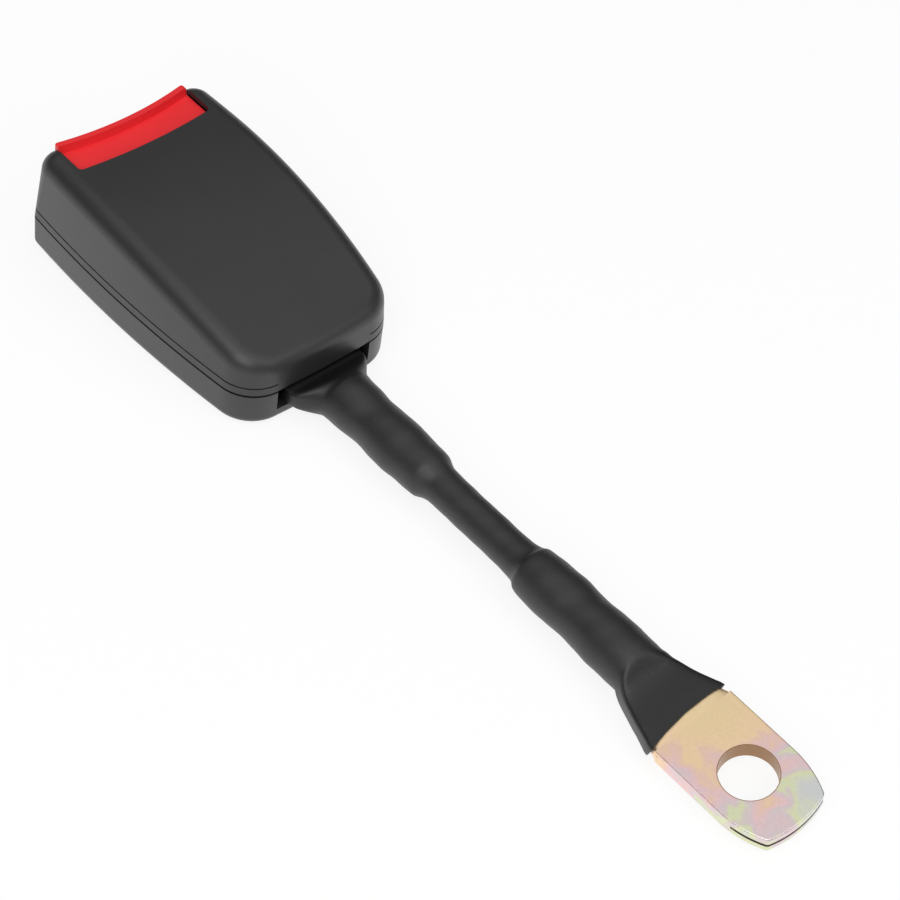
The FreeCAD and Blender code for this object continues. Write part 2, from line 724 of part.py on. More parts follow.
def frame():
    """Channel: base with rivet hole and nose window, cheeks with pin holes and lock bar slots."""
    neck = neck_half_width
    wide = frame_half_width
    shoulder = cheek_start - 1.5
    outline = [(frame_rear, 3 - neck), (frame_rear + 3, -neck), (shoulder - (wide - neck), -neck),
               (shoulder, -wide), (frame_front - 4, -wide), (frame_front, 4 - wide)]
    outline += [(x, -y) for x, y in reversed(outline)]
    wire = Part.makePolygon([Vec(x, y, 0) for x, y in outline + outline[:1]])
    base = slab(Part.Face(wire), frame_bottom, frame_top)
    low = bar_bottom - 3
    sill = frame_bottom + 0.5
    slot_end = bar_front + bar_advance + 3
    side = [(cheek_start, sill), (cheek_start, pin_height + 1), (cheek_start + 3, pin_height + 4),
            (cheek_start + 3 + cheek_top - pin_height, cheek_top), (slot_end, cheek_top), (slot_end + 3, low),
            (spring_tab_x - 1.5, low), (spring_tab_x, frame_front_height), (spring_face, frame_front_height),
            (cheek_end, tongue_top + 1), (cheek_end + 2, sill)]
    cheek = side_prism(side, frame_inner, wide)
    tab = block(spring_tab_x, spring_face, button_spring_y - button_spring_diameter / 2 - 0.4, wide,
                frame_front_height - spring_tab_height, frame_front_height)
    shape = base.fuse(both(cheek) + both(tab))
    pin_hole = drill(pin_x, pin_height, pin_diameter / 2, reach)
    slot = block(bar_rear - button_travel - bar_gap, bar_front + bar_advance + bar_gap, -reach, reach,
                 bar_bottom - run_clearance, bar_top + run_clearance)
    half = nose_half_width + nose_clearance
    window = block(nose_rear - 2.4, nose_front + nose_clearance, -half, half, 0, frame_top + 1)
    window = window.makeFillet(1.0, edges_where(window, lambda box, edge: is_upright(box)))
    rivet_hole = upright(rivet_x, 0, rivet_shank_diameter / 2, 0, frame_top + 1)
    return shape.cut([pin_hole, slot, window, rivet_hole, rivet_tail()])


def rivet_tail():
    """Countersunk end of the rivet, and the sink for it."""
    foot = Vec(rivet_x, 0, frame_bottom)
    return Part.makeCone(rivet_head_diameter / 2, rivet_shank_diameter / 2, rivet_sink, foot)


def frame_rivet():
    """Solid rivet: domed head on the strap, countersunk tail flush with the frame."""
    shank = upright(rivet_x, 0, rivet_shank_diameter / 2, frame_bottom, strap_top)
    radius = rivet_head_diameter / 2
    ball_radius = (radius * radius + rivet_head_height ** 2) / (2 * rivet_head_height)
    ball = Part.makeSphere(ball_radius, Vec(rivet_x, 0, strap_top + rivet_head_height - ball_radius))
    dome = ball.common(upright(rivet_x, 0, radius, strap_top, reach))
    return shank.fuse([rivet_tail(), dome])


def latch_pin():
    """Headed pin through both cheeks."""
    shank = drill(pin_x, pin_height, pin_diameter / 2, frame_half_width + leg_thickness / 2)
    head = drill(pin_x, pin_height, pin_head_diameter / 2, frame_half_width + pin_head_length)
    return shank.fuse(head.cut(block(0, mouth_x, -reach, frame_half_width, 0, reach)))


def latch():
    """Pivoted plate with a nose for the tongue's window, side wings and a locking lug."""
    def side_on(points, half):
        return side_prism([(pin_x + x, pin_height + z) for x, z in points], -half, half)
    under = latch_plate_rise
    over = under + latch_plate_thickness
    front = nose_front - pin_x
    back = nose_rear - pin_x
    plate = side_on([(0, under), (front, under), (front, over), (1.0, over)], latch_half_width)
    boss = drill(pin_x, pin_height, latch_boss_radius, latch_half_width)
    flank = latch_boss_radius * 0.9
    web = side_on([(0, -flank), (2.6, -0.4), (6, under), (6, over), (0, flank)], latch_half_width)
    tip = tongue_top + nose_lift - pin_height
    nose = side_on([(back, over), (back, tip), (front - 1.2, tip), (front, tip + 1.8), (front, over)],
                   nose_half_width)
    foot_x = bar_front + bar_gap - pin_x
    foot_z = bar_bottom - pin_height
    end_x = (foot_x + bar_advance) * latch_cosine - foot_z * latch_sine
    end_z = (foot_x + bar_advance) * latch_sine + foot_z * latch_cosine
    lean = (end_x - foot_x) / (end_z - foot_z)
    top_x = foot_x + lean * lug_height + 0.05
    top_z = foot_z + lug_height
    lug = side_on([(foot_x - 0.2, under + 0.2), (foot_x, foot_z - 0.2), (top_x, top_z),
                   (top_x + lug_length, top_z), (top_x + lug_length + 1.4, under + 0.2)], lug_half_width)
    low_z = pin_height + under
    high_z = pin_height + over
    narrow, wide = wing_half_length - 1, wing_half_length
    wing = side_prism([(wing_x - wide, high_z), (wing_x - narrow, low_z), (wing_x + narrow, low_z),
                       (wing_x + wide, high_z)], -arm_outer, arm_outer)
    bore = drill(pin_x, pin_height, pin_diameter / 2 + pin_clearance, reach)
    return plate.fuse([boss, web, nose, lug, wing]).cut(bore)


def lock_bar():
    """Flat bar across the frame, its ends carried in the button's legs."""
    half = leg_outer - 0.1
    return block(bar_rear, bar_front, -half, half, bar_bottom, bar_top)


def ejector():
    """Forked slide: its prongs push the tongue out, its ramps lift the latch by the wings."""
    bottom = frame_top + 0.05
    slope = (wing_x - pin_x) * latch_sine / ejector_travel
    shelf = pin_height + latch_plate_rise - nose_lift
    ramp_start = wing_x - 0.8
    nose_z = shelf - slope * (ejector_front - ramp_start)
    root_y = arm_inner + 0.1
    rear, front = ejector_rear, ejector_front
    arm = side_prism([(rear, bottom), (front, bottom), (front, nose_z), (ramp_start, shelf), (rear, shelf)],
                     arm_inner, arm_outer)
    prong = block(rear, front, nose_half_width + nose_clearance, root_y, bottom, tongue_top - 0.1)
    bridge = block(rear, rear + ejector_bridge, -root_y, root_y, bottom, tongue_top + 0.3)
    foot = Vec(rear - ejector_pilot_length, 0, ejector_spring_height)
    pilot = Part.makeCylinder(ejector_pilot_radius, ejector_pilot_length, foot, Vec(1, 0, 0))
    return bridge.fuse(both(arm) + both(prong) + [pilot])


def press_button():
    """Button cap with a curved finger lip, guide flanges and two legs that carry the lock bar."""
    half = button_half_width
    shelf = roof(mouth_x) - shelf_drop
    lip_top = roof(mouth_x) + button_lip_rise
    under = shelf - button_roof
    cap = side_prism([(shelf_rear, roof(shelf_rear) - shelf_drop - button_roof), (button_inner_x, under),
                      (button_inner_x, button_bottom), (mouth_x, button_bottom), (mouth_x, shelf),
                      (shelf_rear, roof(shelf_rear) - shelf_drop)], -half, half)
    hollow = (half * half + button_front_hollow ** 2) / (2 * button_front_hollow)
    hollow_x = mouth_x - button_front_hollow + hollow
    inner_radius = hollow + button_lip_width
    sunk = shelf - weld_overlap
    slope = button_slope_length * (lip_top - sunk) / (lip_top - shelf)
    lip = Part.makeCone(inner_radius + slope, inner_radius, lip_top - sunk, Vec(hollow_x, 0, sunk))
    lip = lip.common(block(shelf_rear, mouth_x, -half, half, sunk, reach))
    cap = cap.fuse(lip).cut(upright(hollow_x, 0, hollow, 0, reach)).removeSplitter()
    corners = edges_where(cap, lambda box, edge: is_upright(box) and box.XMax > mouth_x - 0.01)
    cap = cap.makeFillet(button_corner_rounding, corners)
    crest = edges_where(cap, lambda box, edge: box.ZMin > lip_top - 0.01 and box.YLength > 5
                        and box.XMax > mouth_x - button_corner_rounding)
    cap = cap.makeFillet(button_lip_rounding, crest)
    inner_y = half - button_side_wall
    side = block(flange_rear, button_inner_x + 0.5, inner_y, half, button_bottom, under + 0.5)
    flange = block(flange_rear, flange_front, inner_y, leg_outer, button_bottom + 1, flange_top)
    inset = cover_wall + cover_draft * (flange_top - seam_height) + leg_side_gap
    flange = flange.common(rounded_plan(inset, flange_front, flange_corner, button_bottom, flange_top + 1))
    leg = block(leg_rear, flange_rear + 0.5, leg_inner, leg_outer, leg_bottom, leg_top)
    slot = block(bar_rear - bar_gap, bar_front + bar_advance + bar_gap, leg_inner - 1, leg_outer + 1,
                 bar_bottom - run_clearance, bar_top + run_clearance)
    foot = Vec(button_inner_x - button_pilot_length + 0.5, button_spring_y, button_spring_height)
    pilot = Part.makeCylinder(button_pilot_radius, button_pilot_length, foot, Vec(1, 0, 0))
    return cap.fuse(both(side) + both(flange) + both(leg.cut(slot)) + both(pilot))


os.makedirs("parts", exist_ok=True)

save("anchor_terminal", anchor_terminal())
save("buckle_terminal", buckle_terminal())
save("shrink_sleeve", sleeve())
save("rope_core", rope_core())
for strand_index in range(strand_count):
    save("rope_strand_" + str(strand_index + 1), rope_strand(strand_index))
save("upper_cover", upper_cover())
save("lower_cover", lower_cover())
save("buckle_frame", frame())
save("frame_rivet", frame_rivet())
save("latch_pin", latch_pin())
save("latch", latch())
save("lock_bar", lock_bar())
save("ejector", ejector())
save("press_button", press_button())

spring_start = spring_face + spring_seat_gap
spring_length = button_inner_x - spring_seat_gap - spring_start
for side, sign in (("left", 1), ("right", -1)):
    start = Vec(spring_start, sign * button_spring_y, button_spring_height)
    save("button_spring_" + side, placed_coil(button_spring_diameter, button_spring_wire,
                                              button_spring_turns, start, Vec(1, 0, 0), spring_length))
start = Vec(strap_end + spring_seat_gap, 0, ejector_spring_height)
spring_length = ejector_rear - strap_end - 2 * spring_seat_gap
save("ejector_spring", placed_coil(ejector_spring_diameter, ejector_spring_wire, ejector_spring_turns,
                                   start, Vec(1, 0, 0), spring_length))
start = Vec(latch_spring_x, 0, latch_top + spring_seat_gap)
spring_length = roof(latch_spring_x) - cover_wall - latch_top - 2 * spring_seat_gap
save("latch_spring", placed_coil(latch_spring_diameter, latch_spring_wire, latch_spring_turns,
                                 start, Vec(0, 0, 1), spring_length))
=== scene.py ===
"""Looks of the seat belt buckle, its sleeved rope stalk and its anchor tab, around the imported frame."""
import logging
import math
from dataclasses import dataclass
from enum import Enum

import bpy
from mathutils import Matrix, Vector


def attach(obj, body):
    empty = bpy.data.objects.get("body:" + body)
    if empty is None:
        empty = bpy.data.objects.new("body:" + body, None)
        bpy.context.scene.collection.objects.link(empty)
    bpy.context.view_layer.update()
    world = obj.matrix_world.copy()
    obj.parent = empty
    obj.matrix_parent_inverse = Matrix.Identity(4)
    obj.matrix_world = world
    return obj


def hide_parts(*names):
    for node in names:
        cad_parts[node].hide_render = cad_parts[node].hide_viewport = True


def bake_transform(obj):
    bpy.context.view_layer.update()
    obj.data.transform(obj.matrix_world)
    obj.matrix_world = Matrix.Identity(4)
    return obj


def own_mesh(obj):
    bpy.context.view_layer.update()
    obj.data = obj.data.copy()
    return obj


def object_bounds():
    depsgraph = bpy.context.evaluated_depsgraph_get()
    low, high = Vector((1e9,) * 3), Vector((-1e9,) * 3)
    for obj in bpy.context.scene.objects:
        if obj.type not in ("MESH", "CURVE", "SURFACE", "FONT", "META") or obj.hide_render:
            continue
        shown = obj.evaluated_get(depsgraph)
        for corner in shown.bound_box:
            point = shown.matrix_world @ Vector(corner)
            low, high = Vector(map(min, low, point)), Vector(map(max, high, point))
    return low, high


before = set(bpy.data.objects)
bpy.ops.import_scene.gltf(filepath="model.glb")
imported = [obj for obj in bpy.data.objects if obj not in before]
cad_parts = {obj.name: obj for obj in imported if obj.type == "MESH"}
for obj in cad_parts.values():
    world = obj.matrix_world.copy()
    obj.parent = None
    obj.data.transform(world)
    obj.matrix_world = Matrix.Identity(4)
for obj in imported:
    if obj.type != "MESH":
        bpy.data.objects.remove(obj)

log = logging.getLogger("buckle_stalk")
MM = 0.001
CAD_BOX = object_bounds()
STALK_AXIS_Z = 1.35  # height of the stalk's middle line, in millimetres
STAGE_X = 0.09  # the middle of floor and lamps along the part, in metres
WELD = 0.00001  # points nearer to each other than this are one, in metres
NOISE_LOW, NOISE_HIGH = 0.3, 0.7  # a noise pattern lies almost wholly between these


class Space(Enum):
    """What a pattern is laid out on."""

    OBJECT = "Object"
    DIRECTION = "Generated"


class Heading(Enum):
    """Which way a coil runs from its first turn."""

    FORWARD = "+X"
    UP = "+Z"


def linear(code: str) -> tuple[float, float, float, float]:
    """Turns an sRGB hex value into the linear colour that Blender works in.

    Args:
        code: six hex digits, with or without a leading #.

    Returns:
        Red, green, blue and an alpha of 1.
    """
    digits = code.lstrip("#")
    parts = [int(digits[k : k + 2], 16) / 255 for k in (0, 2, 4)]
    curve = [c / 12.92 if c <= 0.04045 else ((c + 0.055) / 1.055) ** 2.4 for c in parts]
    return (*curve, 1.0)


def add_node(tree: bpy.types.NodeTree, kind: str, settings: dict[str | int, object] | None = None,
             links: dict[str | int, bpy.types.NodeSocket] | None = None) -> bpy.types.Node:
    """Adds one node, sets it up and joins its inputs.

    Args:
        tree: the material's node tree.
        kind: the node's type name.
        settings: attribute names, or input sockets by name or number, with their values.
        links: input sockets by name or number, with the output sockets that feed them.

    Returns:
        The new node.
    """
    node = tree.nodes.new(kind)
    for key, value in (settings or {}).items():
        if isinstance(key, str) and hasattr(node, key):
            setattr(node, key, value)
        else:
            node.inputs[key].default_value = value
    for key, source in (links or {}).items():
        tree.links.new(source, node.inputs[key])
    return node


def new_material(name: str) -> tuple[bpy.types.Material, bpy.types.NodeTree, bpy.types.Node]:
    """Starts an empty node material.

    Args:
        name: the material's name.

    Returns:
        The material, its tree and its Principled node, already joined to the output.
    """
    material = bpy.data.materials.new(name)
    material.use_nodes = True
    tree = material.node_tree
    tree.nodes.clear()
    shader = tree.nodes.new("ShaderNodeBsdfPrincipled")
    add_node(tree, "ShaderNodeOutputMaterial", links={"Surface": shader.outputs[0]})
    return material, tree, shader


# ---------------------------------------------------------------- finishes

@dataclass(frozen=True)
class MouldedPlastic:
    """Moulded or shrunk plastic with a fine grain.

    The grain breaks the sheen up, so that a face looks satin and its lit edges look soft.
    Faint flow marks vary the tone over a centimetre or so, from colour towards worn. The joint
    is where two mouldings meet, and the painted shade at the ends, a deeper black, runs from
    full to none and none to full along the stalk.
    """

    name: str
    colour: str
    worn: str
    roughness: float
    grain_mm: float
    grain_depth: float
    flow_mm: float = 14.0
    flow_share: float = 0.5
    grain_height: float = 0.25
    smoother: float = 0.05
    rougher: float = 0.07
    refraction: float = 1.5
    joint_z_mm: float | None = None
    joint_half_mm: float = 0.42
    joint_colour: str = "060606"
    # Where the painted shade at the ends runs from full to none, and its deeper black
    shaded_ends_mm: tuple[float, float, float, float] | None = None
    end_shade_colour: str = "050505"

    def make(self) -> bpy.types.Material:
        """Builds the node material.

        Returns:
            The material.
        """
        material, tree, shader = new_material(self.name)
        place = add_node(tree, "ShaderNodeTexCoord").outputs[Space.OBJECT.value]
        flow = add_node(tree, "ShaderNodeTexNoise", {"Scale": 1 / (self.flow_mm * MM), "Detail": 3.0},
                        {"Vector": place})
        mottle = add_node(tree, "ShaderNodeMapRange", {
            "From Min": NOISE_LOW, "From Max": NOISE_HIGH, "To Min": 0.0, "To Max": self.flow_share},
            {"Value": flow.outputs[0]})
        paint = add_node(tree, "ShaderNodeMix", {
            "data_type": "RGBA", 6: linear(self.colour), 7: linear(self.worn)}, {0: mottle.outputs[0]})
        paint = self.paint_end_shade(tree, place, self.mark_joint(tree, place, paint.outputs[2]))
        grain = add_node(tree, "ShaderNodeTexNoise", {
            "Scale": 1 / (self.grain_mm * MM), "Detail": 2.0, "Roughness": 0.6}, {"Vector": place})
        sheen = add_node(tree, "ShaderNodeMapRange", {
            "To Min": self.roughness - self.smoother, "To Max": self.roughness + self.rougher},
            {"Value": grain.outputs[0]})
        bump = add_node(tree, "ShaderNodeBump", {
            "Strength": self.grain_depth, "Distance": self.grain_mm * MM * self.grain_height},
            {"Height": grain.outputs[0]})
        tree.links.new(paint, shader.inputs["Base Color"])
        tree.links.new(sheen.outputs[0], shader.inputs["Roughness"])
        tree.links.new(bump.outputs[0], shader.inputs["Normal"])
        shader.inputs["IOR"].default_value = self.refraction
        return material

    def mark_joint(self, tree: bpy.types.NodeTree, place: bpy.types.NodeSocket,
                   paint: bpy.types.NodeSocket) -> bpy.types.NodeSocket:
        """Darkens the level band in which two mouldings meet, as its shadow does.

        Args:
            tree: the material's node tree.
            place: the surface's place on the object.
            paint: the colour so far.

        Returns:
            The colour with the band, or as it came where the plastic has no joint.
        """
        if self.joint_z_mm is None:
            return paint
        axes = add_node(tree, "ShaderNodeSeparateXYZ", links={0: place})
        off = add_node(tree, "ShaderNodeMath", {"operation": "SUBTRACT", 1: self.joint_z_mm * MM},
                       {0: axes.outputs[2]})
        apart = add_node(tree, "ShaderNodeMath", {"operation": "ABSOLUTE"}, {0: off.outputs[0]})
        inside = add_node(tree, "ShaderNodeMath", {"operation": "LESS_THAN", 1: self.joint_half_mm * MM},
                          {0: apart.outputs[0]})
        banded = add_node(tree, "ShaderNodeMix", {"data_type": "RGBA", 7: linear(self.joint_colour)},
                          {0: inside.outputs[0], 6: paint})
        return banded.outputs[2]

    def paint_end_shade(self, tree: bpy.types.NodeTree, place: bpy.types.NodeSocket,
                  paint: bpy.types.NodeSocket) -> bpy.types.NodeSocket:
        """Paints shade into both ends as a deeper black: by the buckle's covers and over the tab's flare
        and crease.

        Args:
            tree: the material's node tree.
            place: the surface's place on the object.
            paint: the colour so far.

        Returns:
            The colour with the painted shade at its ends, or as it came where the plastic has none.
        """
        if self.shaded_ends_mm is None:
            return paint
        axes = add_node(tree, "ShaderNodeSeparateXYZ", links={0: place})
        tab_full, tab_none, strap_none, strap_full = (edge * MM for edge in self.shaded_ends_mm)
        for full, none in ((tab_full, tab_none), (strap_full, strap_none)):
            share = add_node(tree, "ShaderNodeMapRange", {
                "interpolation_type": "SMOOTHSTEP", "From Min": none, "From Max": full},
                {"Value": axes.outputs[0]})
            deeper = add_node(tree, "ShaderNodeMix", {"data_type": "RGBA", 7: linear(self.end_shade_colour)},
                              {0: share.outputs[0], 6: paint})
            paint = deeper.outputs[2]
        return paint


@dataclass(frozen=True)
class YellowZinc:
    """Zinc plate with a yellow chromate film on pressed steel.

    The film is thickest towards the barrel and thinnest at the tab's end, so that gold drifts
    into salmon and pink, and then into green-grey and silver. The plate's crystals are finer
    than a tenth of a millimetre, and their flecks are drawn coarser so that they show.
    """

    name: str = "yellow_chromated_zinc_on_pressed_steel"
    film_colours: tuple[tuple[float, str], ...] = (
        (0.10, "c3c4c4"), (0.20, "c9cbb8"), (0.26, "ccd0a8"), (0.32, "cbbcbf"),
        (0.42, "d8b9ba"), (0.50, "d9bba8"), (0.57, "dfc3a0"), (0.75, "dcc49c"))
    # Painted shade: the dark brown of the bore's wall and of the fold along the end
    bore_shade_colour: str = "8a6848"
    fold_shade_colour: str = "4a3d30"
    patch_mm: float = 8.0
    drift_start: float = 0.02
    drift_per_mm: float = 0.016
    drift_inward: float = 0.9
    middle_mm: float = 1.5
    fleck_mm: float = 0.7
    fleck_tone: tuple[float, float] = (0.92, 1.05)
    fleck_height_mm: float = 0.05
    fleck_depth: float = 0.25
    roughness: float = 0.40
    smoother: float = 0.08
    rougher: float = 0.1
    metallic: float = 0.9
    bore_mm: float = 5.9
    fold_mm: float = 0.42
    fold_from_mm: float = -5.0
    tab_turn_deg: float = 10.2

    def make(self) -> bpy.types.Material:
        """Builds the node material.

        Returns:
            The material.
        """
        material, tree, shader = new_material(self.name)
        place = add_node(tree, "ShaderNodeTexCoord").outputs[Space.OBJECT.value]
        fleck = add_node(tree, "ShaderNodeTexNoise", {
            "Scale": 1 / (self.fleck_mm * MM), "Detail": 4.0, "Roughness": 0.7}, {"Vector": place})
        shade = add_node(tree, "ShaderNodeMapRange", {
            "From Min": NOISE_LOW, "From Max": NOISE_HIGH,
            "To Min": self.fleck_tone[0], "To Max": self.fleck_tone[1]}, {"Value": fleck.outputs[0]})
        flecked = add_node(tree, "ShaderNodeMix", {"data_type": "RGBA", "blend_type": "MULTIPLY", 0: 1.0},
                           {6: self.film(tree, place), 7: shade.outputs[0]})
        paint = self.paint_edge_shade(tree, place, flecked.outputs[2])
        rough = add_node(tree, "ShaderNodeMapRange", {
            "To Min": self.roughness - self.smoother, "To Max": self.roughness + self.rougher},
            {"Value": fleck.outputs[0]})
        bump = add_node(tree, "ShaderNodeBump", {
            "Strength": self.fleck_depth, "Distance": self.fleck_height_mm * MM},
            {"Height": fleck.outputs[0]})
        tree.links.new(paint, shader.inputs["Base Color"])
        tree.links.new(rough.outputs[0], shader.inputs["Roughness"])
        tree.links.new(bump.outputs[0], shader.inputs["Normal"])
        shader.inputs["Metallic"].default_value = self.metallic
        return material

    def film(self, tree: bpy.types.NodeTree, place: bpy.types.NodeSocket) -> bpy.types.NodeSocket:
        """Colours the film by its thickness: patches, on a drift along the tab and across it.

        Args:
            tree: the material's node tree.
            place: the surface's place on the object.

        Returns:
            The film's colour.
        """
        axes = add_node(tree, "ShaderNodeSeparateXYZ", links={0: place})
        patches = add_node(tree, "ShaderNodeTexNoise", {
            "Scale": 1 / (self.patch_mm * MM), "Detail": 2.5, "Distortion": 0.5}, {"Vector": place})
        side = add_node(tree, "ShaderNodeMath", {"operation": "ABSOLUTE"}, {0: axes.outputs[1]})
        drift = self.drift_per_mm / MM
        along = add_node(tree, "ShaderNodeMath", {
            "operation": "MULTIPLY_ADD", 1: drift,
            2: self.drift_start - self.middle_mm * self.drift_per_mm}, {0: axes.outputs[0]})
        inward = add_node(tree, "ShaderNodeMath", {
            "operation": "MULTIPLY_ADD", 1: -drift * self.drift_inward},
            {0: side.outputs[0], 2: along.outputs[0]})
        depth = add_node(tree, "ShaderNodeMath", {"operation": "ADD"},
                         {0: patches.outputs[0], 1: inward.outputs[0]})
        shown = add_node(tree, "ShaderNodeValToRGB", links={0: depth.outputs[0]})
        stops = shown.color_ramp.elements
        while len(stops) > 1:
            stops.remove(stops[-1])
        stops[0].position, stops[0].color = self.film_colours[0][0], linear(self.film_colours[0][1])
        for thickness, code in self.film_colours[1:]:
            stops.new(thickness).color = linear(code)
        return shown.outputs[0]

    def paint_edge_shade(self, tree: bpy.types.NodeTree, place: bpy.types.NodeSocket,
                   paint: bpy.types.NodeSocket) -> bpy.types.NodeSocket:
        """Paints shade into the punched wall of the bore and the fold along the end, as a dark brown.

        Args:
            tree: the material's node tree.
            place: the surface's place on the object.
            paint: the colour so far.

        Returns:
            The colour with both painted shades.
        """
        flat = add_node(tree, "ShaderNodeMapping", {"Rotation": (math.radians(self.tab_turn_deg), 0, 0)},
                        {"Vector": place})
        axes = add_node(tree, "ShaderNodeSeparateXYZ", links={0: flat.outputs[0]})
        plan = add_node(tree, "ShaderNodeCombineXYZ", links={0: axes.outputs[0], 1: axes.outputs[1]})
        radius = add_node(tree, "ShaderNodeVectorMath", {"operation": "LENGTH"}, {0: plan.outputs[0]})
        wall = add_node(tree, "ShaderNodeMath", {"operation": "LESS_THAN", 1: self.bore_mm * MM},
                        {0: radius.outputs["Value"]})
        level = add_node(tree, "ShaderNodeMath", {"operation": "ABSOLUTE"}, {0: axes.outputs[2]})
        fold = add_node(tree, "ShaderNodeMath", {"operation": "LESS_THAN", 1: self.fold_mm * MM},
                        {0: level.outputs[0]})
        nose = add_node(tree, "ShaderNodeMath", {"operation": "LESS_THAN", 1: self.fold_from_mm * MM},
                        {0: axes.outputs[0]})
        line = add_node(tree, "ShaderNodeMath", {"operation": "MULTIPLY"},
                        {0: fold.outputs[0], 1: nose.outputs[0]})
        # Painted shade goes into the bore's wall and into the fold
        for code, share in ((self.bore_shade_colour, wall), (self.fold_shade_colour, line)):
            shaded = add_node(tree, "ShaderNodeMix", {"data_type": "RGBA", 7: linear(code)},
                               {0: share.outputs[0], 6: paint})
            paint = shaded.outputs[2]
        return paint


@dataclass(frozen=True)
class PlatedSteel:
    """Bare or clear-plated steel with fine drawing or tumbling marks.

    The marks spread the reflections a little, so that it looks grey and soft rather than mirrored.
    """

    name: str
    colour: str
    roughness: float
    mark_mm: float
    mark_tone: tuple[float, float] = (0.88, 1.06)
    mark_height_mm: float = 0.02
    mark_depth: float = 0.2
    smoother: float = 0.08
    rougher: float = 0.12

    def make(self) -> bpy.types.Material:
        """Builds the node material.

        Returns:
            The material.
        """
        material, tree, shader = new_material(self.name)
        place = add_node(tree, "ShaderNodeTexCoord").outputs[Space.OBJECT.value]
        marks = add_node(tree, "ShaderNodeTexNoise", {"Scale": 1 / (self.mark_mm * MM), "Detail": 4.0},
                         {"Vector": place})
        tone = add_node(tree, "ShaderNodeMapRange", {
            "To Min": self.mark_tone[0], "To Max": self.mark_tone[1]}, {"Value": marks.outputs[0]})
        paint = add_node(tree, "ShaderNodeMix", {
            "data_type": "RGBA", "blend_type": "MULTIPLY", 0: 1.0, 6: linear(self.colour)},
            {7: tone.outputs[0]})
        rough = add_node(tree, "ShaderNodeMapRange", {
            "To Min": self.roughness - self.smoother, "To Max": self.roughness + self.rougher},
            {"Value": marks.outputs[0]})
        bump = add_node(tree, "ShaderNodeBump", {
            "Strength": self.mark_depth, "Distance": self.mark_height_mm * MM},
            {"Height": marks.outputs[0]})
        tree.links.new(paint.outputs[2], shader.inputs["Base Color"])
        tree.links.new(rough.outputs[0], shader.inputs["Roughness"])
        tree.links.new(bump.outputs[0], shader.inputs["Normal"])
        shader.inputs["Metallic"].default_value = 1.0
        return material


class Finish(Enum):
    """The finishes of the part, each with the maker of its material.

    The real grains and marks are near a tenth of a millimetre. They are drawn three to twelve
    times coarser, so that they show.
    """

    # Polypropylene from a spark-eroded mould: satin black, with soft grey light along its edges
    COVER = MouldedPlastic("black_moulded_pp_eroded_grain", colour="232324", worn="292929",
                           roughness=0.43, grain_mm=0.35, grain_depth=0.30, joint_z_mm=3.85)
    # Polyolefin shrunk on with heat: duller and a little blacker than the covers, with painted shade at
    # both ends
    SLEEVE = MouldedPlastic("black_heat_shrink_polyolefin", colour="1d1d1e", worn="232324",
                            roughness=0.50, grain_mm=0.6, grain_depth=0.25, flow_mm=9.0,
                            shaded_ends_mm=(27.5, 30.5, 110.0, 117.0))
    # ABS from a nearly smooth mould: full red with a clear sheen
    BUTTON = MouldedPlastic("red_moulded_abs", colour="e0242a", worn="e4292e",
                            roughness=0.36, grain_mm=0.3, grain_depth=0.12)
    # Acetal from a plain mould: waxy black
    SLIDE = MouldedPlastic("black_moulded_acetal", colour="1d1d1e", worn="262627",
                           roughness=0.4, grain_mm=0.4, grain_depth=0.2)
    # Zinc with a chromate film: pale gold with pink and green patches
    TAB = YellowZinc()
    # Zinc with a clear film: light and evenly grey
    PLATED = PlatedSteel("clear_zinc_plated_pressed_steel", colour="c4c5c2", roughness=0.35, mark_mm=1.2)
    # Hardened and tumbled: darker, with rounded glints
    HARD = PlatedSteel("tumbled_hardened_steel", colour="8c8c8e", roughness=0.38, mark_mm=0.8)
    # Galvanised wire: light and dull
    ROPE = PlatedSteel("galvanised_rope_wire", colour="b4b4b1", roughness=0.42, mark_mm=0.5)
    # Drawn wire: grey with a clean highlight along each turn
    SPRING = PlatedSteel("drawn_spring_wire", colour="9c9ca0", roughness=0.3, mark_mm=0.6)


MADE: dict[Finish, bpy.types.Material] = {}


def dress(piece: bpy.types.Object, finish: Finish) -> None:
    """Gives a piece one finish, whose material is made once.

    Args:
        piece: the object to dress.
        finish: its finish.
    """
    if finish not in MADE:
        MADE[finish] = finish.value.make()
    piece.data.materials.clear()
    piece.data.materials.append(MADE[finish])


FINISH_OF: dict[str, Finish] = {
    "upper_cover": Finish.COVER, "lower_cover": Finish.COVER, "press_button": Finish.BUTTON,
    "anchor_terminal": Finish.TAB, "buckle_terminal": Finish.PLATED, "buckle_frame": Finish.PLATED,
    "frame_rivet": Finish.PLATED, "latch_pin": Finish.PLATED, "latch": Finish.HARD,
    "lock_bar": Finish.HARD, "ejector": Finish.SLIDE,
}


# ---------------------------------------------------------------- modelling steps

def lay_down() -> None:
    """Leaves edit mode, with nothing selected."""
    if bpy.context.object and bpy.context.object.mode != "OBJECT":
        bpy.ops.object.mode_set(mode="OBJECT")
    bpy.ops.object.select_all(action="DESELECT")


def take_up(name: str) -> bpy.types.Object:
    """Names the primitive that was just added.

    Args:
        name: the piece's name.

    Returns:
        The piece.
    """
    piece = bpy.context.object
    piece.name = piece.data.name = name
    return piece


def only(piece: bpy.types.Object) -> None:
    """Selects one piece and makes it active.

    Args:
        piece: the piece.
    """
    lay_down()
    piece.select_set(True)
    bpy.context.view_layer.objects.active = piece


def apply_place(piece: bpy.types.Object) -> None:
    """Moves a piece's place and turn into its mesh.

    Args:
        piece: the piece, which then sits at the origin.
    """
    only(piece)
    bpy.ops.object.transform_apply(location=True, rotation=True, scale=True)


def apply_modifier(piece: bpy.types.Object, kind: str, **settings: object) -> None:
    """Adds a modifier and applies it.

    Args:
        piece: the piece that it shapes.
        kind: the modifier's type.
        **settings: its values.
    """
    only(piece)
    modifier = piece.modifiers.new(kind.title(), kind)
    for key, value in settings.items():
        setattr(modifier, key, value)
    bpy.ops.object.modifier_apply(modifier=modifier.name)


